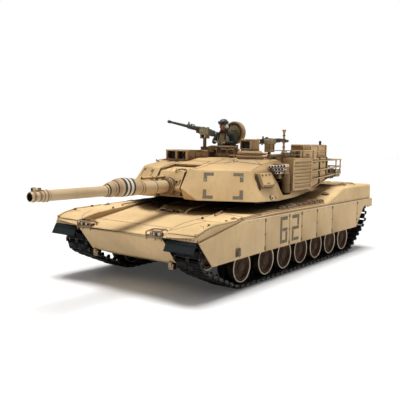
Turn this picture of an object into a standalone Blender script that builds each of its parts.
"""A 1/16 remote-control main battle tank, modelled as its separate pieces.

The tank faces -Y with its left side at +X. Stations along Y are counted from the first road-wheel
axle; one empty carries every piece, so that the finished model is centred over the ground.
All sizes are in metres.
"""
import math

import bmesh
import bpy
from mathutils import Matrix, Vector

MM = 0.001
GAP = 0.3 * MM                      # clearance between pieces that touch

# Driving dimensions
MUZZLE_Y = -230.9 * MM              # front end of the gun
NOSE_Y = -110.0 * MM                # front edge of the glacis
REAR_Y = 383.7 * MM                 # rear end of the hull
BELLY_Z = 27.0 * MM
TUB_HALF = 67.0 * MM                # half width of the hull between the tracks
TUB_WALL = 2.0 * MM
SKIRT_THICK = 2.0 * MM
SKIN = 2.0 * MM                     # wall of the upper hull
FLOOR_Z = 82.5 * MM                 # underside of the sponsons
RIM_FRONT_Z = 68.2 * MM             # split between the two hull halves, at the nose
GLACIS_Z = 70.6 * MM                # height of the nose edge
DECK_Z = 95.0 * MM                  # fighting compartment roof
DECK_FRONT_Y = 52.0 * MM            # where the glacis meets the roof
ENGINE_FRONT_Y = 212.0 * MM         # foot of the slope up to the engine deck
ENGINE_TOP_Y = 271.0 * MM
ENGINE_Z = 108.0 * MM
REAR_PLATE_Y = 378.0 * MM

WHEEL_RADIUS = 19.85 * MM
WHEEL_WIDTH = 23.4 * MM             # over both discs of a double wheel
WHEEL_SLOT = 5.4 * MM               # gap between the discs for the guide horns
FIRST_PITCH = 57.0 * MM             # first to second axle
WHEEL_PITCH = 47.8 * MM             # the other axles
WHEEL_COUNT = 7
PIN_RADIUS = 2.0 * MM               # stub axles
ARM_BACK = 22.0 * MM                # a wheel trails its arm's pivot by this much
ARM_DROP = 11.0 * MM                # and lies below it by this much
ARM_THICK = 5.0 * MM

TRACK_WIDTH = 38.6 * MM
TRACK_GAP = 3.1 * MM                # between the tub's side and a track
FENDER_MARGIN = 3.3 * MM            # fender edge outside the track
SHOE_PITCH = 12.1 * MM
LINK_HALF = 1.4 * MM                # half thickness of a shoe at its pins
PAD_DROP = 3.6 * MM                 # from the pins down to the face of a rubber pad
PAD_RELIEF = 0.2 * MM               # pads between the end ones of the ground run stand clear by this
HORN_HEIGHT = 6.0 * MM
HORN_WIDTH = 3.6 * MM
BEND_RADIUS = 40.0 * MM             # path of the pins under the first and last wheels
SPROCKET_Y = 354.0 * MM
SPROCKET_Z = 56.0 * MM
SPROCKET_TEETH = 11
IDLER_Y = -70.0 * MM
IDLER_Z = 51.0 * MM
IDLER_RADIUS = 19.2 * MM

TURRET_Y = 100.0 * MM               # centre of the turret ring
RING_RADIUS = 45.0 * MM
TURRET_Z = 103.0 * MM               # lower edge of the turret armour
CHEEK_TOP_Z = 139.0 * MM
ROOF_Z = 152.0 * MM
TURRET_WALL = 4.0 * MM
SLOT_HALF = 23.0 * MM               # half width of the gun slot between the cheeks
TRUNNION_Y = 10.0 * MM
BORE_Z = 118.0 * MM
BARREL_RADIUS = 5.7 * MM
SLEEVE_RADIUS = 7.85 * MM
TAIL_RADIUS = 5.0 * MM              # rear end of the barrel, inside the mantlet
RECOIL = 8.0 * MM

CUPOLA_X, CUPOLA_Y = -30.0 * MM, 144.0 * MM
CUPOLA_RADIUS = 23.0 * MM
LOADER_X, LOADER_Y = 24.0 * MM, 172.0 * MM
LOADER_RADIUS = 16.0 * MM
PINTLE_X, PINTLE_Y = 49.0 * MM, 145.0 * MM
SIGHT_X, SIGHT_Y = 45.0 * MM, 100.7 * MM
SIGHT_RADIUS = 19.0 * MM

SAND = (0.58, 0.44, 0.27, 1)
SAND_DARK = (0.40, 0.29, 0.17, 1)
RUBBER = (0.03, 0.035, 0.045, 1)
STEEL = (0.06, 0.055, 0.05, 1)
WHEEL_BROWN = (0.13, 0.07, 0.04, 1)
GUN_GREY = (0.12, 0.14, 0.12, 1)

TRACK_CENTRE = TUB_HALF + TRACK_GAP + TRACK_WIDTH / 2
SPONSON_HALF = TRACK_CENTRE + TRACK_WIDTH / 2 + FENDER_MARGIN
AXLE_Z = PAD_DROP + LINK_HALF + GAP + WHEEL_RADIUS
AXLES = [0.0] + [FIRST_PITCH + WHEEL_PITCH * i for i in range(WHEEL_COUNT - 1)]


# ---------------------------------------------------------------- tools
def tidy_scene():
    """Take away whatever the scene holds."""
    for item in list(bpy.data.objects):
        bpy.data.objects.remove(item, do_unlink=True)


def loft(sections):
    """A closed body through loops of equally many points, capped at both ends."""
    bm = bmesh.new()
    loops = [[bm.verts.new(p) for p in section] for section in sections]
    for low, high in zip(loops, loops[1:]):
        for i in range(len(low)):
            j = (i + 1) % len(low)
            bm.faces.new((low[i], low[j], high[j], high[i]))
    bm.faces.new(loops[0][::-1])
    bm.faces.new(loops[-1])
    bmesh.ops.recalc_face_normals(bm, faces=bm.faces)
    return bm


def prism(outline, axis, low, high):
    """An outline in the other two axes, extruded from low to high along one axis."""
    def place(point, depth):
        coords = list(point)
        coords.insert("XYZ".index(axis), depth)
        return coords
    return loft([[place(p, low) for p in outline], [place(p, high) for p in outline]])


def box(x0, x1, y0, y1, z0, z1):
    return prism([(x0, y0), (x1, y0), (x1, y1), (x0, y1)], "Z", z0, z1)


def turned(profile, axis, centre, segments, phase=0.0):
    """A profile of (distance from the axis, place along it), turned about the axis.

    The first and last points lie on the axis or are joined by flat faces.
    """
    index = "XYZ".index(axis)
    bm = bmesh.new()
    rings = []
    for radius, along in profile:
        ring = []
        for i in range(segments if radius > 0 else 1):
            angle = 2 * math.pi * (i + phase) / segments
            coords = [radius * math.cos(angle), radius * math.sin(angle)]
            coords.insert(index, along)
            ring.append(bm.verts.new(Vector(centre) + Vector(coords)))
        rings.append(ring)
    for low, high in zip(rings, rings[1:]):
        for i in range(segments):
            j = (i + 1) % segments
            corners = [low[i % len(low)], low[j % len(low)], high[j % len(high)], high[i % len(high)]]
            bm.faces.new(list(dict.fromkeys(corners)))
    for ring in (rings[0], rings[-1]):
        if len(ring) > 1:
            bm.faces.new(ring)
    bmesh.ops.recalc_face_normals(bm, faces=bm.faces)
    return bm


def rod(axis, centre, radius, low, high, segments=12):
    return turned([(radius, low), (radius, high)], axis, centre, segments, 0.5)


def bar(start, end, half):
    """A square bar between two points."""
    run = Vector(end) - Vector(start)
    rail = turned([(half * math.sqrt(2), 0), (half * math.sqrt(2), run.length)], "Z", (0, 0, 0), 4, 0.5)
    turn = run.to_track_quat("Z", "Y").to_matrix().to_4x4()
    return moved(rail, Matrix.Translation(start) @ turn)


def moved(bm, matrix):
    bmesh.ops.transform(bm, matrix=matrix, verts=bm.verts)
    return bm


def mirrored(bm):
    """The same shape on the other side of the tank."""
    bmesh.ops.transform(bm, matrix=Matrix.Scale(-1, 4, (1, 0, 0)), verts=bm.verts)
    bmesh.ops.reverse_faces(bm, faces=bm.faces)
    return bm


def to_mesh(bm, name):
    mesh = bpy.data.meshes.new(name)
    bm.to_mesh(mesh)
    bm.free()
    return mesh


def combined(base, *steps):
    """The base with each (operation, shape) carried out on it in turn."""
    body = bpy.data.objects.new("body", to_mesh(base, "body"))
    bpy.context.scene.collection.objects.link(body)
    helpers = []
    for operation, shape in steps:
        helper = bpy.data.objects.new("helper", to_mesh(shape, "helper"))
        bpy.context.scene.collection.objects.link(helper)
        helpers.append(helper)
        boolean = body.modifiers.new(operation, "BOOLEAN")
        boolean.operation = operation
        boolean.object = helper
    depsgraph = bpy.context.evaluated_depsgraph_get()
    result = bmesh.new()
    result.from_object(body, depsgraph)
    for item in helpers + [body]:
        mesh = item.data
        bpy.data.objects.remove(item, do_unlink=True)
        bpy.data.meshes.remove(mesh)
    bmesh.ops.dissolve_limit(result, angle_limit=math.radians(0.2), verts=result.verts,
                             edges=result.edges)
    return result


def fused(base, *shapes):
    return combined(base, *[("UNION", shape) for shape in shapes])


def material(name, colour, roughness, metallic):
    found = bpy.data.materials.new(name)
    found.use_nodes = True
    shader = found.node_tree.nodes["Principled BSDF"]
    shader.inputs["Base Color"].default_value = colour
    shader.inputs["Roughness"].default_value = roughness
    shader.inputs["Metallic"].default_value = metallic
    found.diffuse_color = colour
    return found


def piece(name, shape, colour, origin=(0.0, 0.0, 0.0), roughness=0.6, metallic=0.0, keep_place=True,
          crease=48):
    """A named piece with its own origin at a point of the vehicle.

    The shape is drawn where it stands, or around its origin if keep_place is off.
    """
    mesh = shape
    if not isinstance(shape, bpy.types.Mesh):
        if keep_place:
            bmesh.ops.translate(shape, vec=-Vector(origin), verts=shape.verts)
        mesh = to_mesh(shape, name)
        mesh.shade_smooth()
        mesh.set_sharp_from_angle(angle=math.radians(crease))
        mesh.materials.append(material(name, colour, roughness, metallic))
    item = bpy.data.objects.new(name, mesh)
    bpy.context.scene.collection.objects.link(item)
    item.parent = bpy.data.objects["vehicle"]
    item.location = origin
    return item


# ---------------------------------------------------------------- hull
def rim_z(y):
    """Height of the split between the two hull halves."""
    rim_slope_end = (FLOOR_Z - RIM_FRONT_Z) / glacis_slope() + NOSE_Y
    if y >= rim_slope_end:
        return FLOOR_Z
    return RIM_FRONT_Z + (y - NOSE_Y) * glacis_slope()


def glacis_slope():
    return (DECK_Z - GLACIS_Z) / (DECK_FRONT_Y - NOSE_Y)


def glacis_z(y):
    return min(DECK_Z, GLACIS_Z + (y - NOSE_Y) * glacis_slope())


def lower_hull():
    """The open tub between the tracks, with bores for every pivot and two idler axles."""
    foot_y, foot_z = NOSE_Y + 25 * MM, BELLY_Z + 12 * MM
    top = rim_z(NOSE_Y) - GAP
    lean = (foot_y - NOSE_Y) / (GLACIS_Z - foot_z)
    front = NOSE_Y + (GLACIS_Z - top) * lean
    knee = (FLOOR_Z - RIM_FRONT_Z) / glacis_slope() + NOSE_Y
    outer = [(front, top), (foot_y, foot_z), (foot_y + 36 * MM, BELLY_Z),
             (REAR_PLATE_Y - 32 * MM, BELLY_Z), (REAR_PLATE_Y - 6 * MM, BELLY_Z + 18 * MM),
             (REAR_PLATE_Y, FLOOR_Z - GAP), (knee, FLOOR_Z - GAP)]
    w = TUB_WALL
    inner = [(front + 2.4 * w, top + w), (foot_y + w, foot_z + w), (foot_y + 36 * MM + w, BELLY_Z + w),
             (REAR_PLATE_Y - 32 * MM - w, BELLY_Z + w), (REAR_PLATE_Y - 6 * MM - w, BELLY_Z + 18 * MM),
             (REAR_PLATE_Y - w, FLOOR_Z + w), (knee, FLOOR_Z + w)]
    tub = prism(outer, "X", -TUB_HALF, TUB_HALF)
    steps = [("DIFFERENCE", prism(inner, "X", w - TUB_HALF, TUB_HALF - w))]
    for y in AXLES:
        steps.append(("DIFFERENCE", rod("X", (0, y - ARM_BACK, AXLE_Z + ARM_DROP),
                                        PIN_RADIUS + 2 * GAP, -2 * TUB_HALF, 2 * TUB_HALF, 8)))
    steps.append(("DIFFERENCE", rod("X", (0, SPROCKET_Y, SPROCKET_Z), PIN_RADIUS + 2 * GAP,
                                    -2 * TUB_HALF, 2 * TUB_HALF, 8)))
    for side in (-1, 1):
        inside, outside = TUB_HALF - w, TRACK_CENTRE + WHEEL_SLOT
        steps.append(("UNION", rod("X", (0, IDLER_Y, IDLER_Z), PIN_RADIUS,
                                   *sorted((side * inside, side * outside)), 8)))
    for side in (-1, 1):
        hook = [(foot_y - 1 * MM, foot_z + 1 * MM), (foot_y + 7 * MM, foot_z - 2 * MM),
                (foot_y + 6 * MM, foot_z - 9 * MM), (foot_y + 1 * MM, foot_z - 9 * MM)]
        x = side * (TUB_HALF - 6 * MM)
        steps.append(("UNION", prism(hook, "X", x - 2 * MM, x + 2 * MM)))
    piece("lower_hull", combined(tub, *steps), SAND_DARK, crease=20)


def hull_section(y, hood_in, hood_out, hood_floor, fender_y=None, deck=None):
    """One cross-section of the upper hull: roof, hood over the track, and the open underside."""
    fender_y = y if fender_y is None else fender_y
    top = glacis_z(y) if deck is None else deck
    wall_in, wall_out = TRACK_CENTRE - TRACK_WIDTH / 2 - 2 * MM, TRACK_CENTRE - TRACK_WIDTH / 2 - GAP
    inner = TUB_HALF - 5 * MM
    rim = rim_z(y)
    ceiling = max(top - SKIN, rim + GAP)
    half = [(wall_in, y, top), (wall_in + GAP, fender_y, hood_in), (SPONSON_HALF - 2 * MM, fender_y, hood_out),
            (SPONSON_HALF, fender_y, hood_out - 2 * MM), (SPONSON_HALF, fender_y, hood_floor),
            (wall_out, fender_y, hood_floor - GAP / 10), (wall_out, y, rim), (inner, y, rim),
            (inner, y, ceiling)]
    return half + [(-x, py, z) for x, py, z in reversed(half)]


def upper_hull():
    """The lid of the hull: glacis, hoods over the idlers, roof with the turret ring, engine deck."""
    mm = MM
    lid = loft([
        hull_section(NOSE_Y, 74.0 * mm, 74.0 * mm, 69.3 * mm, fender_y=NOSE_Y + 4 * mm),
        hull_section(NOSE_Y + 6 * mm, 76.2 * mm, 77.4 * mm, 73.5 * mm),
        hull_section(NOSE_Y + 17 * mm, 79.8 * mm, 81.2 * mm, 77.6 * mm),
        hull_section(NOSE_Y + 36 * mm, 83.2 * mm, 84.6 * mm, 80.6 * mm),
        hull_section(-41 * mm, 85.6 * mm, 85.4 * mm, 82.0 * mm),
        hull_section((FLOOR_Z - RIM_FRONT_Z) / glacis_slope() + NOSE_Y, 88.0 * mm, 86.4 * mm, FLOOR_Z),
        hull_section(DECK_FRONT_Y, DECK_Z, 88.6 * mm, FLOOR_Z),
        hull_section(ENGINE_FRONT_Y, DECK_Z, 89.0 * mm, FLOOR_Z),
        hull_section(ENGINE_TOP_Y, ENGINE_Z, ENGINE_Z, FLOOR_Z, deck=ENGINE_Z),
        hull_section(REAR_PLATE_Y, ENGINE_Z, ENGINE_Z, FLOOR_Z, deck=ENGINE_Z)])
    rear_wall = box(-SPONSON_HALF + mm, SPONSON_HALF - mm, REAR_PLATE_Y - SKIN, REAR_PLATE_Y - GAP / 10,
                    FLOOR_Z + GAP / 3, ENGINE_Z - mm)
    ring_hole = rod("Z", (0, TURRET_Y, 0), RING_RADIUS + 0.4 * mm, DECK_Z - 10 * mm, DECK_Z + 10 * mm, 24)
    bump = prism([(DECK_FRONT_Y - 68 * mm, glacis_z(DECK_FRONT_Y - 68 * mm) - mm), (DECK_FRONT_Y - 50 * mm, 90.5 * mm),
                  (DECK_FRONT_Y - 14 * mm, 94.0 * mm), (DECK_FRONT_Y - 6 * mm, 92.0 * mm)],
                 "X", -24 * mm, 24 * mm)
    steps = [("UNION", rear_wall), ("UNION", bump), ("DIFFERENCE", ring_hole)]
    valance = [(NOSE_Y + 6.5 * mm, 67.8 * mm), (-16 * mm, 83.2 * mm), (-16 * mm, 84.6 * mm), (-41 * mm, 84.4 * mm),
               (NOSE_Y + 36 * mm, 83.4 * mm), (NOSE_Y + 17 * mm, 79.9 * mm), (NOSE_Y + 6.5 * mm, 76.0 * mm)]
    for side in (-1, 1):
        across = sorted((side * (SPONSON_HALF - 2.1 * mm), side * (SPONSON_HALF - GAP / 10)))
        steps.append(("UNION", prism(valance, "X", *across)))
    piece("upper_hull", combined(lid, *steps), SAND, crease=15)


def skirts():
    """Side armour of seven panels each, cut away in front of the idler and over the sprocket."""
    mm = MM
    low, top = 41.6 * mm, 84.2 * mm
    outline = [(NOSE_Y + 6 * mm, 68.6 * mm), (NOSE_Y + 31 * mm, low - 1.7 * mm), (30 * mm, low),
               (SPROCKET_Y - 34 * mm, low), (SPROCKET_Y - 26.8 * mm, 53.3 * mm),
               (SPROCKET_Y - 9 * mm, 67.4 * mm), (REAR_Y, 71 * mm), (REAR_Y, top), (-17 * mm, top)]
    seams = [30.5 * mm, 91.7 * mm, 126.9 * mm, 173.5 * mm, 225.2 * mm, 319.7 * mm]
    inside = SPONSON_HALF + GAP
    outside = inside + SKIRT_THICK
    for side, make in (("left", lambda bm: bm), ("right", mirrored)):
        steps = [("DIFFERENCE", box(outside - 0.5 * mm, outside + mm, y - 0.4 * mm, y + 0.4 * mm, 0, 0.2))
                 for y in seams]
        bracket = box(outside - 0.5 * mm, outside + 1.2 * mm, -30 * mm, -25 * mm, 44 * mm, 52 * mm)
        steps.append(("UNION", bracket))
        piece("skirt_" + side, make(combined(prism(outline, "X", inside, outside), *steps)), SAND)


def mudflaps():
    """Rubber flaps that hang from the front lips of the fenders."""
    mm = MM
    top_y, top_z = NOSE_Y + 5 * mm, 69.3 * mm - GAP
    outline = [(top_y - 1.4 * mm, top_z), (top_y, top_z), (top_y - 7 * mm, top_z - 12 * mm),
               (top_y - 8.4 * mm, top_z - 12 * mm)]
    for side, make in (("left", lambda bm: bm), ("right", mirrored)):
        flap = prism(outline, "X", TRACK_CENTRE - TRACK_WIDTH / 2 + 2 * mm, SPONSON_HALF)
        piece("mudflap_" + side, make(flap), RUBBER, roughness=0.7)


def rear_grille():
    """The louvred exhaust grille across the rear plate."""
    mm = MM
    face, back = REAR_Y, REAR_PLATE_Y + GAP
    low, high, half = FLOOR_Z + 2 * mm, ENGINE_Z - 2 * mm, 88 * mm
    frame = combined(box(-half, half, back, face, low, high),
                     ("DIFFERENCE", box(3 * mm - half, half - 3 * mm, back - mm, face + mm,
                                        low + 3 * mm, high - 3 * mm)))
    slats = []
    count = 4
    for i in range(count):
        z = low + 3 * mm + (high - low - 6 * mm) * (i + 0.5) / count
        outline = [(back + 0.5 * mm, z + 1.6 * mm), (back + 1.7 * mm, z + 1.6 * mm),
                   (face - 0.5 * mm, z - 1.6 * mm), (face - 1.7 * mm, z - 1.6 * mm)]
        slats.append(prism(outline, "X", 2 * mm - half, half - 2 * mm))
    slats.append(box(-1.5 * mm, 1.5 * mm, back, face - 0.3 * mm, low + mm, high - mm))
    piece("rear_grille", fused(frame, *slats), SAND_DARK)


def electronics():
    """Battery, control unit and the twin gearbox that drives both sprockets."""
    mm = MM
    floor = BELLY_Z + TUB_WALL + GAP
    piece("battery_pack", box(-24 * mm, 24 * mm, 20 * mm, 155 * mm, floor, floor + 25 * mm),
          (0.02, 0.05, 0.2, 1))
    piece("control_unit", box(-40 * mm, 40 * mm, 175 * mm, 245 * mm, floor, floor + 16 * mm),
          (0.02, 0.12, 0.05, 1))
    half = TUB_HALF - TUB_WALL - GAP
    case = box(-half, half, SPROCKET_Y - 62 * mm, SPROCKET_Y - 16 * mm, floor, floor + 34 * mm)
    head = box(-half, half, SPROCKET_Y - 17 * mm, SPROCKET_Y + 9 * mm, SPROCKET_Z - 8 * mm, SPROCKET_Z + 7 * mm)
    shafts = rod("X", (0, SPROCKET_Y, SPROCKET_Z), PIN_RADIUS + 2 * GAP, half - 9 * mm, half + mm, 8)
    shafts_right = rod("X", (0, SPROCKET_Y, SPROCKET_Z), PIN_RADIUS + 2 * GAP, -half - mm, 9 * mm - half, 8)
    motors = [rod("X", (0, SPROCKET_Y - 40 * mm, floor + 46 * mm), 13 * mm, s * 30 * mm - 24 * mm,
                  s * 30 * mm + 24 * mm, 16) for s in (-1, 1)]
    piece("gearbox", combined(case, ("UNION", head), *[("UNION", m) for m in motors],
                              ("DIFFERENCE", shafts), ("DIFFERENCE", shafts_right)),
          (0.3, 0.3, 0.3, 1), metallic=0.6)


# ---------------------------------------------------------------- running gear
def track_circles():
    """Circles that the track pins run around: first wheel, last wheel, sprocket, idler."""
    bend_z = PAD_DROP + BEND_RADIUS
    sprocket = SHOE_PITCH / (2 * math.sin(math.pi / SPROCKET_TEETH))
    sag = SHOE_PITCH ** 2 / (8 * IDLER_RADIUS)
    idler = IDLER_RADIUS + LINK_HALF + sag + 2 * GAP
    return [((AXLES[0] - 6 * MM, bend_z), BEND_RADIUS), ((AXLES[-1] + 4 * MM, bend_z), BEND_RADIUS),
            ((SPROCKET_Y, SPROCKET_Z), sprocket), ((IDLER_Y, IDLER_Z), idler)]


def track_pins():
    """Evenly spaced pin places around the loop, as (y, z), anticlockwise seen from the left."""
    circles = track_circles()
    normals = []
    for (c1, r1), (c2, r2) in zip(circles, circles[1:] + circles[:1]):
        dy, dz = c2[0] - c1[0], c2[1] - c1[1]
        heading = math.atan2(dz, dy) + math.asin((r1 - r2) / math.hypot(dy, dz))
        normals.append(heading - math.pi / 2)
    spans = []
    for i, (centre, radius) in enumerate(circles):
        start, end = normals[i - 1], normals[i]
        turn = (end - start) % (2 * math.pi)
        spans.append((radius * turn, centre, radius, start, turn))
        following, next_radius = circles[(i + 1) % len(circles)]
        leave = (centre[0] + radius * math.cos(end), centre[1] + radius * math.sin(end))
        meet = (following[0] + next_radius * math.cos(end), following[1] + next_radius * math.sin(end))
        spans.append((math.dist(leave, meet), leave, meet))
    total = sum(span[0] for span in spans)
    count = round(total / SHOE_PITCH)
    pins = []
    for i in range(count):
        along = total * i / count
        for span in spans:
            if along < span[0]:
                break
            along -= span[0]
        if len(span) == 3:
            share = along / span[0]
            pins.append(tuple(a + (b - a) * share for a, b in zip(span[1], span[2])))
        else:
            angle = span[3] + along / span[2]
            pins.append((span[1][0] + span[2] * math.cos(angle), span[1][1] + span[2] * math.sin(angle)))
    return pins


def track_mesh():
    """The whole run of shoes: end connectors at each pin, a pad outside, a guide horn inside."""
    pins = track_pins()
    count = len(pins)
    bm = bmesh.new()
    rings = []

    def ring(middle, outward, drop, half):
        rows = []
        for x, rise in ((-half, LINK_HALF), (half, LINK_HALF), (half, -drop), (-half, -drop)):
            spot = middle - outward * rise
            rows.append(bm.verts.new((x, spot[0], spot[1])))
        return rows

    def flat(i):
        return abs(pins[i % count][1] - PAD_DROP) < 0.01 * MM

    horns = []
    for i in range(count):
        here, after, before = (Vector(pins[j % count]) for j in (i, i + 1, i - 1))
        between = all(flat(i + step) for step in (-1, 0, 1, 2))
        drop = PAD_DROP - PAD_RELIEF if between else PAD_DROP
        run = (after - here).normalized()
        bend = (after - before).normalized()
        out = Vector((run[1], -run[0]))
        rings.append(ring(here, Vector((bend[1], -bend[0])), LINK_HALF * 0.6, TRACK_WIDTH / 2))
        rings.append(ring(here.lerp(after, 0.22), out, drop, TRACK_WIDTH / 2 - 1.6 * MM))
        rings.append(ring(here.lerp(after, 0.78), out, drop, TRACK_WIDTH / 2 - 1.6 * MM))
        horns.append((here.lerp(after, 0.5), run, out))
    for i, low in enumerate(rings):
        high = rings[(i + 1) % len(rings)]
        for j in range(4):
            k = (j + 1) % 4
            face = [low[j], low[k], high[k], high[j]]
            if i % 3 == 1 and j == 0:
                middle, run, out = horns[i // 3]
                foot = [bm.verts.new((x, *(middle + run * y - out * LINK_HALF)))
                        for x, y in ((-HORN_WIDTH / 2, -2.2 * MM), (HORN_WIDTH / 2, -2.2 * MM),
                                     (HORN_WIDTH / 2, 2.2 * MM), (-HORN_WIDTH / 2, 2.2 * MM))]
                tip = bm.verts.new((0.0, *(middle - out * (LINK_HALF + HORN_HEIGHT))))
                for a in range(4):
                    b = (a + 1) % 4
                    bm.faces.new((face[a], face[b], foot[b], foot[a]))
                    bm.faces.new((foot[a], foot[b], tip))
            else:
                bm.faces.new(face)
    bmesh.ops.recalc_face_normals(bm, faces=bm.faces)
    return bm


def tracks():
    for side, sign in (("left", 1), ("right", -1)):
        shoes = track_mesh()
        bmesh.ops.translate(shoes, vec=(sign * TRACK_CENTRE, 0, 0), verts=shoes.verts)
        piece("track_" + side, shoes, STEEL, roughness=0.75)


def wheel_mesh(radius, bore_depth):
    """A double wheel about X, outer side at +X: two dished discs on a hub with a blind bore."""
    half, slot, mm = WHEEL_WIDTH / 2, WHEEL_SLOT / 2, MM
    bore = PIN_RADIUS + GAP
    profile = [(0, bore_depth - half), (bore, bore_depth - half), (bore, 1.5 * mm - half),
               (radius, -half), (radius, -slot), (radius - HORN_HEIGHT - 3 * mm, -slot),
               (radius - HORN_HEIGHT - 3 * mm, slot), (radius, slot), (radius, half - mm),
               (radius - 2 * mm, half), (8 * mm, half - 5 * mm), (5.2 * mm, half - 1.0 * mm),
               (0, half - 1.0 * mm)]
    return turned(profile, "X", (0, 0, 0), 12)


def road_wheels():
    """Seven sprung double wheels on each side, each on its own trailing arm."""
    left = wheel_mesh(WHEEL_RADIUS, 14 * MM)
    right = mirrored(wheel_mesh(WHEEL_RADIUS, 14 * MM))
    seat = TRACK_CENTRE - WHEEL_WIDTH / 2
    arm_in = TUB_HALF + GAP
    arm_out = arm_in + ARM_THICK
    boss = PIN_RADIUS + 2.4 * MM

    def arm_shape():
        link = []
        tilt = math.atan2(-ARM_DROP, ARM_BACK)
        for centre, start in (((ARM_BACK, -ARM_DROP), -90), ((0, 0), 90)):
            for step in range(5):
                angle = tilt + math.radians(start + 45 * step)
                link.append((centre[0] + boss * math.cos(angle), centre[1] + boss * math.sin(angle)))
        plate = prism(link, "X", arm_in, arm_out)
        pivot = rod("X", (0, 0, 0), PIN_RADIUS, TUB_HALF - TUB_WALL - MM, arm_in + MM, 8)
        axle = rod("X", (0, ARM_BACK, -ARM_DROP), PIN_RADIUS, arm_out - MM, seat + 13 * MM, 8)
        return fused(plate, pivot, axle)

    for side, wheel, sign in (("left", left, 1), ("right", right, -1)):
        arm = arm_shape() if sign > 0 else mirrored(arm_shape())
        for i, y in enumerate(AXLES, 1):
            pivot = (0, y - ARM_BACK, AXLE_Z + ARM_DROP)
            arm = piece(f"swing_arm_{side}_{i}", arm, SAND_DARK, pivot, keep_place=False).data
            centre = (sign * TRACK_CENTRE, y, AXLE_Z)
            wheel = piece(f"road_wheel_{side}_{i}", wheel, WHEEL_BROWN, centre, keep_place=False).data


def idlers():
    for side, sign in (("left", 1), ("right", -1)):
        wheel = wheel_mesh(IDLER_RADIUS, 18 * MM)
        if sign < 0:
            wheel = mirrored(wheel)
        piece("idler_" + side, wheel, WHEEL_BROWN, (sign * TRACK_CENTRE, IDLER_Y, IDLER_Z),
              keep_place=False)


def sprockets():
    """Two toothed rings on a drum, with a shaft that reaches into the gearbox."""
    mm = MM
    pitch_radius = SHOE_PITCH / (2 * math.sin(math.pi / SPROCKET_TEETH))
    tip = pitch_radius - SHOE_PITCH ** 2 / (8 * pitch_radius) - LINK_HALF - 1.3 * GAP
    root = tip - 3.6 * mm
    outline = []
    for tooth in range(SPROCKET_TEETH):
        for share, radius in ((-0.30, root), (-0.12, tip), (0.12, tip), (0.30, root)):
            angle = 2 * math.pi * (tooth + share) / SPROCKET_TEETH
            outline.append((radius * math.cos(angle), radius * math.sin(angle)))
    half = TRACK_WIDTH / 2
    drum = turned([(0, -half), (9 * mm, -half), (9 * mm, 4.5 * mm - half), (12.5 * mm, 4.5 * mm - half),
                   (12.5 * mm, half - 4.5 * mm), (6 * mm, half - 4.5 * mm), (6 * mm, half - 0.5 * mm),
                   (0, half - 0.5 * mm)], "X", (0, 0, 0), 12)
    rings = [prism(outline, "X", half - 5 * mm, half - 2 * mm), prism(outline, "X", 2 * mm - half, 5 * mm - half)]
    shaft = rod("X", (0, 0, 0), PIN_RADIUS + GAP, TUB_HALF - TUB_WALL - 8 * mm - TRACK_CENTRE,
                1 * mm - half, 8)
    shape = to_mesh(fused(drum, *rings, shaft), "sprocket")
    for side, sign in (("left", 1), ("right", -1)):
        wheel = bmesh.new()
        wheel.from_mesh(shape)
        if sign < 0:
            wheel = mirrored(wheel)
        piece("sprocket_" + side, wheel, SAND_DARK, (sign * TRACK_CENTRE, SPROCKET_Y, SPROCKET_Z),
              keep_place=False, metallic=0.4)
    bpy.data.meshes.remove(shape)


# ---------------------------------------------------------------- turret
def cheek_front(x, z):
    """Station of the sloping front armour at a given place across and height."""
    sweep = (33.1 + 8.7) / (89.3 - 23.3)
    lean = (23.5 - 8.7) / (CHEEK_TOP_Z / MM - 117.3)
    return (-8.7 + sweep * (x / MM - 23.3) - lean * (CHEEK_TOP_Z - z) / MM) * MM


def turret_section(z, knuckle, corner, side_front, side_mid, side_rear, tail, front=None):
    """One level of the turret as a closed loop; every place is (x, y, rise above the level)."""
    half = [knuckle, corner, side_front, side_mid, side_rear, tail]
    right = [(x * MM, y * MM, z + rise * MM) for x, y, rise in half]
    return right + [(-x, y, level) for x, y, level in reversed(right)]


def split_quad(bm, corner, opposite):
    """Cut a twisted four-sided face along the diagonal between two of its corners."""
    ends = [min(bm.verts, key=lambda v: (v.co - Vector(spot)).length) for spot in (corner, opposite)]
    bmesh.ops.connect_vert_pair(bm, verts=ends)


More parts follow.
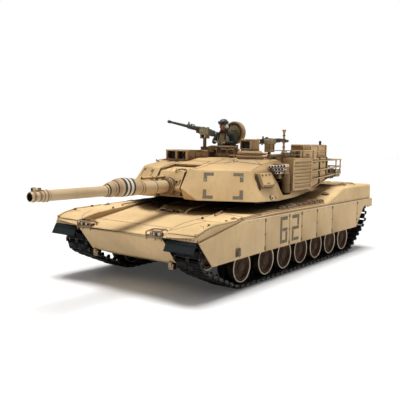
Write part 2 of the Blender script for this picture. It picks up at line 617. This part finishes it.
def turret_shell():
    """Welded turret: swept cheeks around the gun slot, tapering sides, a bustle that rises aft."""
    mm = MM
    inner_x, cut_x = SLOT_HALF / mm + 0.3, 45.5

    def at(x, z):
        return cheek_front(x * mm, z) / mm
    low, knee, high, brow, roof = TURRET_Z, 117.3 * mm, CHEEK_TOP_Z, ROOF_Z - 6 * mm, ROOF_Z
    shell = loft([
        turret_section(low, (inner_x, at(cut_x, low) + 3, 0), (cut_x, at(cut_x, low), 0),
                       (106, at(106, low), -0.4), (106, 75, -2.5), (97, 137, -2.5), (85, 203, 1)),
        turret_section(knee, (inner_x, at(inner_x, knee), 0), (cut_x, at(cut_x, knee), 0),
                       (99.3, at(99.3, knee), 0), (100, 78, 0), (91, 138, 0), (80, 234, 3)),
        turret_section(high, (inner_x, at(inner_x, high), 0), (cut_x, at(cut_x, high), 0),
                       (89.3, at(89.3, high), 0), (90, 82, 2), (85, 140, 3), (78, 236, 3)),
        turret_section(brow, (inner_x, 29.4, 0), (cut_x, 36.4, 0), (84.5, 68, 0), (83.2, 90, 2.5),
                       (80, 142, 5), (77, 236, 5)),
        turret_section(roof, (inner_x, 62, 0), (cut_x, 63, 0), (72, 67, 0), (72, 90, 0), (74, 142, 0),
                       (74.5, 236, 0))])
    for side in (-1, 1):
        split_quad(shell, (side * inner_x * mm, at(inner_x, knee) * mm, knee),
                   (side * cut_x * mm, at(cut_x, low) * mm, low))
    slot = prism([(-60 * mm, 90 * mm), (44 * mm, 90 * mm), (44 * mm, 142 * mm), (22 * mm, 142 * mm),
                  (22 * mm, 170 * mm), (-60 * mm, 170 * mm)], "X", -SLOT_HALF, SLOT_HALF)
    wall = TURRET_WALL
    pocket = prism([(-62 * mm, 68 * mm), (62 * mm, 68 * mm), (66 * mm, 80 * mm), (62 * mm, 190 * mm),
                    (-62 * mm, 190 * mm), (-66 * mm, 80 * mm)], "Z", 90 * mm, ROOF_Z - 2 * wall)
    louvre_case = prism([(73 * mm, 122.5 * mm), (100.5 * mm, 122.5 * mm), (98.5 * mm, 184 * mm),
                         (73 * mm, 184 * mm)], "Z", 110 * mm, 154.5 * mm)
    crate = box(66 * mm, 84 * mm, 179 * mm, 262 * mm, ROOF_Z - mm, 172 * mm)
    side_box = box(83 * mm, 95 * mm, 150 * mm, 203 * mm, ROOF_Z - 0.5 * mm, 164.5 * mm)
    side_case = prism([(183 * mm, 108 * mm), (199 * mm, 108.7 * mm), (252 * mm, 121.5 * mm),
                       (252 * mm, 153.5 * mm), (183 * mm, 153.5 * mm)], "X", 70 * mm, 91 * mm)
    locker = prism([(94 * mm, 118 * mm), (104 * mm, 119.8 * mm), (96.8 * mm, 136.4 * mm),
                    (86 * mm, 136 * mm)], "Y", 40 * mm, 71 * mm)
    mast = rod("Z", (26 * mm, 230 * mm, 0), 1.3 * mm, ROOF_Z - mm, 195 * mm, 6)
    steps = [("DIFFERENCE", slot)]
    niche = [(96 * mm, 105.6 * mm), (124 * mm, 105.6 * mm), (124 * mm, 137 * mm), (79 * mm, 137 * mm)]
    for side in (-1, 1):
        steps.append(("DIFFERENCE", prism(niche, "X", *sorted((side * 84 * mm, side * 115 * mm)))))
    steps += [("UNION", shape) for shape in (louvre_case, crate, side_box, side_case, locker, mast)]
    for i in range(8):
        z = 114.6 + 4.7 * i
        groove = prism([(98 * mm, z * mm), (106 * mm, z * mm), (106 * mm, (z + 2.2) * mm)], "Y",
                       128 * mm, 178 * mm)
        steps.append(("DIFFERENCE", groove))
    steps.append(("DIFFERENCE", pocket))
    for x, y, radius in ((CUPOLA_X, CUPOLA_Y, CUPOLA_RADIUS - 7 * mm), (LOADER_X, LOADER_Y, LOADER_RADIUS - 4 * mm)):
        steps.append(("DIFFERENCE", rod("Z", (x, y, 0), radius, ROOF_Z - 3 * wall, ROOF_Z + wall, 16)))
    piece("turret_shell", combined(shell, *steps), SAND, (0, TURRET_Y, TURRET_Z), crease=15)


def turret_ring():
    """Turret floor plate with the bearing race that turns in the hull roof."""
    mm = MM
    floor_low, floor_high = DECK_Z + 3.5 * mm, TURRET_Z - 2.5 * mm - GAP
    race = turned([(RING_RADIUS - 7 * mm, DECK_Z - SKIN - 2 * mm), (RING_RADIUS - GAP, DECK_Z - SKIN - 2 * mm),
                   (RING_RADIUS - GAP, DECK_Z + GAP), (RING_RADIUS + 6 * mm, DECK_Z + GAP),
                   (RING_RADIUS + 6 * mm, floor_high), (RING_RADIUS - 7 * mm, floor_high)],
                  "Z", (0, TURRET_Y, 0), 24)
    plate = prism([(-66 * mm, 50 * mm), (66 * mm, 50 * mm), (72 * mm, 76 * mm), (62 * mm, 182 * mm),
                   (-62 * mm, 182 * mm), (-72 * mm, 76 * mm)], "Z", floor_low, floor_high)
    hole = rod("Z", (0, TURRET_Y, 0), RING_RADIUS - 7 * mm, DECK_Z - 20 * mm, TURRET_Z + mm, 24)
    piece("turret_ring", combined(plate, ("UNION", race), ("DIFFERENCE", hole)), STEEL, (0, TURRET_Y, DECK_Z))


def mantlet():
    """Gun shield that tips in the slot between the cheeks, with the bore for the sliding barrel."""
    mm = MM
    trunnion_half, half = SLOT_HALF - 2 * GAP, SLOT_HALF - 3.4 * mm
    shield = prism([(-21.5 * mm, BORE_Z - 2 * mm), (-11 * mm, 136.5 * mm), (18 * mm, 141 * mm),
                    (26 * mm, 132 * mm), (26 * mm, 112 * mm), (18 * mm, 104 * mm), (-11 * mm, 104 * mm)],
                   "X", -half, half)
    trunnion = rod("X", (0, TRUNNION_Y, BORE_Z), 8 * mm, -trunnion_half, trunnion_half, 12)
    collar = turned([(0, 0), (10.8 * mm, 0), (10.8 * mm, -23.5 * mm), (9.6 * mm, -23.5 * mm),
                     (9.6 * mm, -26.5 * mm), (0, -26.5 * mm)], "Y", (0, 0, BORE_Z), 16)
    coax = rod("Y", (-11 * mm, 0, BORE_Z + 10.8 * mm), 1.8 * mm, -57 * mm, -10 * mm, 8)
    front_bore = rod("Y", (0, 0, BORE_Z), SLEEVE_RADIUS + GAP, -40 * mm, -20 * mm + RECOIL + 3 * mm, 16)
    rear_bore = rod("Y", (0, 0, BORE_Z), TAIL_RADIUS + GAP, -40 * mm, 21 * mm, 16)
    piece("mantlet", combined(shield, ("UNION", trunnion), ("UNION", collar), ("UNION", coax),
                              ("DIFFERENCE", front_bore), ("DIFFERENCE", rear_bore)),
          SAND, (0, TRUNNION_Y, BORE_Z))


def gun_barrel():
    """Barrel with muzzle collars, off-centre bore evacuator and sleeve; its tail slides aft."""
    mm = MM
    tube, sleeve, tail = BARREL_RADIUS / mm, SLEEVE_RADIUS / mm, TAIL_RADIUS / mm
    profile = [(0, 24), (4.2, 24), (4.2, 0), (5.0, 0), (5.0, 14), (6.3, 15), (6.3, 21.5), (tube, 22),
               (tube, 101), (6.2, 102), (7.1, 104.5), (8.5, 109), (9.4, 114), (10.3, 119), (11.1, 126),
               (11.1, 135), (10.6, 142), (9.9, 148.5), (8.2, 155.4), (sleeve, 158), (sleeve, 209.5),
               (tail, 209.5), (tail, 240), (0, 240)]
    lift = [(101, 0.0), (105, 0.7), (110, 1.4), (114, 2.0), (119, 2.6), (126, 2.8), (135, 2.7), (142, 2.5),
            (148.5, 2.2), (155.4, 1.1), (160, 0.0)]
    barrel = turned([(radius * mm, MUZZLE_Y + along * mm) for radius, along in profile],
                    "Y", (0, 0, BORE_Z), 14)
    for vert in barrel.verts:
        along = (vert.co.y - MUZZLE_Y) / mm
        for (start, low), (end, high) in zip(lift, lift[1:]):
            if start <= along < end:
                vert.co.z += (low + (high - low) * (along - start) / (end - start)) * mm
    sensor = box(-2 * mm, 2 * mm, MUZZLE_Y + 2.5 * mm, MUZZLE_Y + 13.5 * mm, BORE_Z + 4.2 * mm, BORE_Z + 9.5 * mm)
    piece("gun_barrel", fused(barrel, sensor), SAND, (0, 0, BORE_Z))


def commander_station():
    """Rotating cupola, its raised hatch, the heavy machine gun and the half figure."""
    mm = MM
    x, y, low = CUPOLA_X, CUPOLA_Y, ROOF_Z + GAP
    ring = turned([(15 * mm, 0), (CUPOLA_RADIUS + mm, 0), (CUPOLA_RADIUS + mm, 4 * mm),
                   (CUPOLA_RADIUS - mm, 5 * mm), (CUPOLA_RADIUS - 2 * mm, 14 * mm), (17 * mm, 16 * mm),
                   (15 * mm, 16 * mm)], "Z", (x, y, low), 20)
    well = rod("Z", (x, y, 0), 15 * mm, low - mm, low + 20 * mm, 20)
    gun_x, post_y = x - 8 * mm, y - CUPOLA_RADIUS - 13 * mm
    post = box(gun_x - 5 * mm, gun_x + 9 * mm, post_y - 3 * mm, y - CUPOLA_RADIUS + 6 * mm,
               low + 7 * mm, low + 15 * mm)
    column = rod("Z", (gun_x, post_y, 0), 2.6 * mm, low + 12 * mm, 180 * mm, 8)
    ears = [box(gun_x + s * 4.5 * mm - 1.2 * mm, gun_x + s * 4.5 * mm + 1.2 * mm, post_y - 4 * mm,
                post_y + 4 * mm, 179 * mm, 192 * mm) for s in (-1, 1)]
    yoke = box(gun_x - 5.7 * mm, gun_x + 5.7 * mm, post_y - 4 * mm, post_y + 4 * mm, 179 * mm, 181 * mm)
    lugs = [box(x + s * 7 * mm - 2 * mm, x + s * 7 * mm + 2 * mm, y + CUPOLA_RADIUS - 4 * mm,
                y + CUPOLA_RADIUS + 5 * mm, low + 8 * mm, low + 18 * mm) for s in (-1, 1)]
    floor = box(x - 16 * mm, x + 16 * mm, y - 7 * mm, y + 9 * mm, low, low + 3 * mm)
    piece("commander_cupola", combined(
        ring, ("DIFFERENCE", well), *[("UNION", s) for s in (post, column, yoke, *ears, *lugs, floor)]),
        SAND_DARK, (x, y, ROOF_Z))

    hinge = (x, y + CUPOLA_RADIUS + 2 * mm, low + 16 * mm)
    disc = turned([(0, -2.5 * mm), (17 * mm, -2.5 * mm), (17 * mm, 1.5 * mm), (12 * mm, 4 * mm), (0, 4 * mm)],
                  "Y", (0, 0, 0), 20)
    disc = moved(disc, Matrix.Translation((x + 2 * mm, hinge[1] + 4 * mm, hinge[2] + 20.5 * mm)))
    tongue = box(x - 4.7 * mm, x + 4.7 * mm, hinge[1] - 1.2 * mm, hinge[1] + 3 * mm, hinge[2] - 2 * mm,
                 hinge[2] + 8 * mm)
    piece("commander_hatch", fused(disc, tongue), SAND, hinge)

    heavy_gun((gun_x, post_y, 189 * mm))
    figure(x, y, low + 3 * mm + GAP)


def heavy_gun(pivot):
    """Machine gun on the cupola: tapered barrel, receiver, grips and an ammunition box."""
    mm = MM
    body = box(-3.1 * mm, 3.1 * mm, -20 * mm, 24 * mm, -4.5 * mm, 4.5 * mm)
    barrel = turned([(0, -85 * mm), (1.9 * mm, -85 * mm), (1.9 * mm, -81 * mm), (1.5 * mm, -79 * mm),
                     (2.1 * mm, -42 * mm), (3.2 * mm, -40 * mm), (3.2 * mm, -18 * mm), (0, -18 * mm)],
                    "Y", (0, 0, 1.5 * mm), 10)
    grips = box(-5 * mm, 5 * mm, 23 * mm, 25 * mm, -4 * mm, 3 * mm)
    ammo = box(3.0 * mm, 11 * mm, -19 * mm, -6 * mm, -6 * mm, 5 * mm)
    pin = rod("X", (0, 0, 0), 1.2 * mm, -3.2 * mm, 3.2 * mm, 8)
    gun = fused(body, barrel, grips, ammo, pin)
    gun = moved(gun, Matrix.Rotation(math.radians(-7), 4, "X"))
    piece("heavy_machine_gun", gun, GUN_GREY, pivot, keep_place=False, metallic=0.3)


def figure(x, y, foot_z):
    """Half figure of a crew member leaning on the hatch rim, with a rounded helmet."""
    mm = MM
    def oval(z, half_x, half_y, dy=0.0):
        return [(x + half_x * mm * math.cos(math.radians(a)), y + (6 + dy) * mm
                 + half_y * mm * math.sin(math.radians(a)), z) for a in range(0, 360, 40)]
    torso = loft([oval(foot_z, 11, 6.5), oval(foot_z + 14 * mm, 11, 6.5), oval(foot_z + 25 * mm, 13, 6.5, -1),
                  oval(foot_z + 30 * mm, 11, 5.5, -2), oval(foot_z + 32.5 * mm, 4, 4, -3),
                  oval(foot_z + 36 * mm, 4, 4, -4), oval(foot_z + 38 * mm, 6.2, 7, -5),
                  oval(foot_z + 45 * mm, 7.6, 8.2, -5), oval(foot_z + 51 * mm, 5.6, 6, -5),
                  oval(foot_z + 53 * mm, 2.4, 2.6, -5)])
    arms = []
    for side in (-1, 1):
        shoulder = Vector((x + side * 12 * mm, y + 3 * mm, foot_z + 26 * mm))
        elbow = Vector((x + side * 16 * mm, y - 1 * mm, foot_z + 16.5 * mm))
        hand = Vector((x + side * 6 * mm, y - 12 * mm, foot_z + 17 * mm))
        for start, end in ((shoulder, elbow), (elbow, hand)):
            run = end - start
            limb = turned([(0, -2.5 * mm), (3.4 * mm, -mm), (3.0 * mm, run.length + mm),
                           (0, run.length + 2 * mm)], "Z", (0, 0, 0), 8)
            turn = run.to_track_quat("Z", "Y").to_matrix().to_4x4()
            arms.append(moved(limb, Matrix.Translation(start) @ turn))
    piece("crew_figure", fused(torso, *arms), (0.05, 0.07, 0.05, 1), (x, y, ROOF_Z))


def loader_station():
    """Loader's hatch on the left of the roof and the light machine gun on its pintle."""
    mm = MM
    x, y, low = LOADER_X, LOADER_Y, ROOF_Z + GAP
    lid = turned([(0, 0), (LOADER_RADIUS, 0), (LOADER_RADIUS, 2 * mm), (LOADER_RADIUS - 4 * mm, 4 * mm),
                  (0, 4 * mm)], "Z", (x, y, low), 20)
    knuckle = rod("X", (0, y + LOADER_RADIUS + 1 * mm, low + 2 * mm), 1.8 * mm, x - 7 * mm, x + 7 * mm, 8)
    strap = box(x - 4 * mm, x + 4 * mm, y + LOADER_RADIUS - 5 * mm, y + LOADER_RADIUS + mm, low + 0.5 * mm,
                low + 3 * mm)
    piece("loader_hatch", fused(lid, strap, knuckle), SAND, (x, y + LOADER_RADIUS + mm, low + 2 * mm))

    gun_z = 176 * mm
    body = box(-2.6 * mm, 2.6 * mm, -22 * mm, 16 * mm, -2.5 * mm, 3.5 * mm)
    barrel = rod("Y", (0, 0, 1.2 * mm), 1.4 * mm, 15 * mm, 56 * mm, 8)
    grips = box(-3.8 * mm, 3.8 * mm, -26 * mm, -24 * mm, -4 * mm, 4 * mm)
    neck = box(-1.2 * mm, 1.2 * mm, -25 * mm, -21 * mm, -1 * mm, 1.5 * mm)
    drum = rod("X", (0, -9 * mm, -7.5 * mm), 8.2 * mm, 2.4 * mm, 9 * mm, 12)
    stem = rod("Z", (0, 0, 0), 1.6 * mm, low - gun_z, -2 * mm, 8)
    base = rod("Z", (0, 0, 0), 4.5 * mm, low - gun_z, low + 3 * mm - gun_z, 8)
    gun = fused(body, barrel, neck, grips, drum, stem, base)
    piece("light_machine_gun", gun, GUN_GREY, (PINTLE_X, PINTLE_Y, gun_z), keep_place=False, metallic=0.3)


def panoramic_sight():
    """Commander's independent sight: a turning head with a window, over a stepped drum."""
    mm = MM
    x, y, low = SIGHT_X, SIGHT_Y, ROOF_Z + GAP
    drum = turned([(0, 0), (SIGHT_RADIUS, 0), (SIGHT_RADIUS, 3.5 * mm), (SIGHT_RADIUS - 1.5 * mm, 4.5 * mm),
                   (SIGHT_RADIUS - 1.5 * mm, 8.5 * mm), (SIGHT_RADIUS - 3.5 * mm, 11 * mm), (0, 11 * mm)],
                  "Z", (x, y, low), 24)
    head = rod("Z", (x, y, 0), 12.5 * mm, low + 10 * mm, low + 26 * mm, 16)
    window = box(x - 8 * mm, x + 8 * mm, y - 20 * mm, y - 8 * mm, low + 14 * mm, low + 24 * mm)
    piece("panoramic_sight", combined(drum, ("UNION", head), ("DIFFERENCE", window)), SAND, (x, y, ROOF_Z))


def gunner_sight():
    """Armoured housing of the gunner's sight on the slope of the roof, with two open doors."""
    mm = MM
    y0, y1, high = 40 * mm, 88 * mm, 162.8 * mm
    flat_y, base = 61.5 * mm, ROOF_Z + GAP

    def end(x, front_z):
        return [(x, y0, front_z), (x, flat_y, base), (x, y1, base), (x, y1, high - 2.5 * mm),
                (x, y0 + 30 * mm, high), (x, y0, high)]
    x0, x1 = -54 * mm, -17 * mm
    house = loft([end(x0, 147.2 * mm), end(x1, 148.5 * mm)])
    wide, floor_z = 13 * mm, 150.5 * mm
    holes = [box(x - wide / 2, x + wide / 2, y0 - mm, y0 + 6 * mm, floor_z, high - 1.6 * mm)
             for x in (x0 + 3 * mm + wide / 2, x1 - 3 * mm - wide / 2)]
    piece("gunner_sight", combined(house, *[("DIFFERENCE", h) for h in holes]), SAND_DARK,
          (0, TURRET_Y, ROOF_Z))


def smoke_launchers():
    """Clusters of grenade tubes on both turret sides, one bank of three rows on each bracket."""
    mm = MM
    pitch, radius, outward = 3.86 * mm, 1.85 * mm, math.radians(8)
    along = Vector((0.836, 0.549, 0.088))
    first = Vector((93.0 * mm, 72.2 * mm, 143.6 * mm))
    for side, make in (("left", lambda bm: bm), ("right", mirrored)):
        block = prism([(92.4 * mm, 83 * mm), (106.5 * mm, 91.5 * mm), (106.5 * mm, 101 * mm),
                       (92.4 * mm, 112 * mm)], "Z", 134 * mm, 147.5 * mm)
        bracket = box(84.4 * mm, 93.4 * mm, 99 * mm, 110 * mm, 127 * mm, 135 * mm)
        tubes = []
        for row, (count, start) in enumerate(((6, 0.0), (4, 1.28), (2, 2.36))):
            for i in range(count):
                mouth = first + along * pitch * (i + start) - Vector((0, 0, 4.0 * mm * row))
                tube = rod("Y", (0, 0, 0), radius, 0, 13 * mm, 6)
                turn = Matrix.Translation(mouth) @ Matrix.Rotation(outward, 4, "Z")
                tubes.append(moved(tube, turn))
        piece("smoke_launcher_" + side, make(fused(block, bracket, *tubes)), SAND, (0, TURRET_Y, TURRET_Z))


def bustle_rack():
    """Tubular basket around the back of the turret, with side rails, a floor and stowage cases."""
    mm = MM
    thick, rail = 1.0 * mm, 0.85 * mm
    front, back, half = 254 * mm, 300 * mm, 91 * mm
    bars = []
    for rear_z, front_z in ((128.5 * mm, 122 * mm), (139 * mm, 134 * mm), (149.5 * mm, 148.8 * mm)):
        bars.append(bar((-half - thick, back, rear_z), (half + thick, back, rear_z), thick))
        bars.append(bar((-half, 238 * mm, rear_z), (-half, back + 0.2 * mm, rear_z), rail))
        bars.append(bar((half + 2 * mm, 194 * mm, front_z), (half + 0.5 * mm, back + 0.2 * mm, rear_z), rail))
    post = 0.8 * mm
    for x in (-90.6, -55, -18, 18, 55, 90.6):
        bars.append(bar((x * mm, back - 0.1 * mm, 127.2 * mm), (x * mm, back - 0.1 * mm, 151 * mm), post))
    bars.append(bar((0.1 * mm - half, 280 * mm, 126.5 * mm), (0.1 * mm - half, 280 * mm, 151 * mm), post))
    bars.append(bar((half + 1.3 * mm, 280 * mm, 126 * mm), (half + 1.3 * mm, 280 * mm, 151 * mm), post))
    floor = box(0.5 * mm - half, half - 0.5 * mm, front + mm, back - 0.2 * mm, 127.8 * mm, 129.1 * mm)
    wall = box(-half - 1.5 * mm, half - 1.5 * mm, front, front + 2.5 * mm, 127.4 * mm, 150.6 * mm)
    case = box(24 * mm, 62 * mm, front + 1.2 * mm, back - 3 * mm, 128.3 * mm, 148.7 * mm)
    bin_box = box(76 * mm, 90.7 * mm, 283 * mm, 299.3 * mm, 122.6 * mm, 134.3 * mm)
    can = box(78 * mm, 89.8 * mm, 265 * mm, 278 * mm, 120.5 * mm, 136.3 * mm)
    antenna = rod("Z", (70 * mm, 267 * mm, 0), 1.7 * mm, 128.5 * mm, 178.5 * mm, 6)
    piece("bustle_rack", fused(floor, wall, *bars, case, bin_box, can, antenna), SAND,
          (0, TURRET_Y, TURRET_Z))


def build():
    tidy_scene()
    vehicle = bpy.data.objects.new("vehicle", None)
    bpy.context.scene.collection.objects.link(vehicle)
    vehicle.location = (0, -(MUZZLE_Y + REAR_Y) / 2, 0)
    for make in (lower_hull, upper_hull, skirts, mudflaps, rear_grille, electronics, tracks, road_wheels,
                 idlers, sprockets, turret_shell, turret_ring, mantlet, gun_barrel, commander_station,
                 loader_station, panoramic_sight, gunner_sight, smoke_launchers, bustle_rack):
        make()


build()
